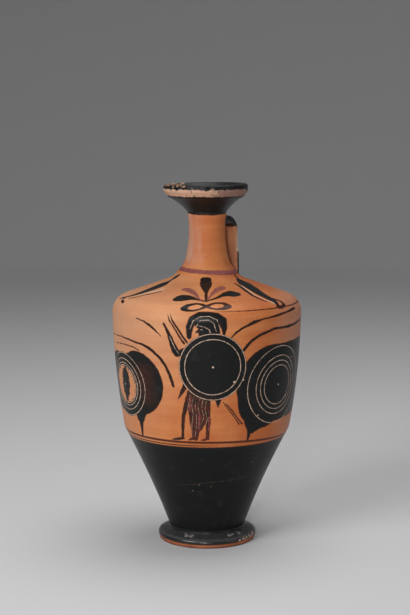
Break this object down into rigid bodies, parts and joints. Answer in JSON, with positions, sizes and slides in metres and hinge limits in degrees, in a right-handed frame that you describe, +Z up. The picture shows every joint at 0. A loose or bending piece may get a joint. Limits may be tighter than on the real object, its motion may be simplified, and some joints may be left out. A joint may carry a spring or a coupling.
{
  "type": "lekythos",
  "caption": "Ceramic oil flask with a disc foot, tapering body, flat shoulder, slender neck, flaring cup mouth and a strap handle, for pouring oil in a thin stream.",
  "frame": {"origin": "centre of the foot's resting ring, on the table", "axes": "+Z up along the wheel's axis, +Y towards the handle at the back, +X to the right when the handle is behind"},
  "size_m": [0.1052, 0.1052, 0.2],
  "materials": {
    "clay": "burnished reserved clay with black gloss figures",
    "black_gloss": "black gloss, worn at the edges",
    "slip": "fired slip"
  },
  "bodies": {
    "root": {"foot": "black_gloss", "foot_joint_slip": "slip", "body": "clay", "neck_joint_slip": "slip", "neck": "clay", "mouth_joint_slip": "slip", "mouth": "black_gloss", "handle": "black_gloss", "handle_upper_slip": "slip", "handle_lower_slip": "slip"}
  },
  "joints": []
}
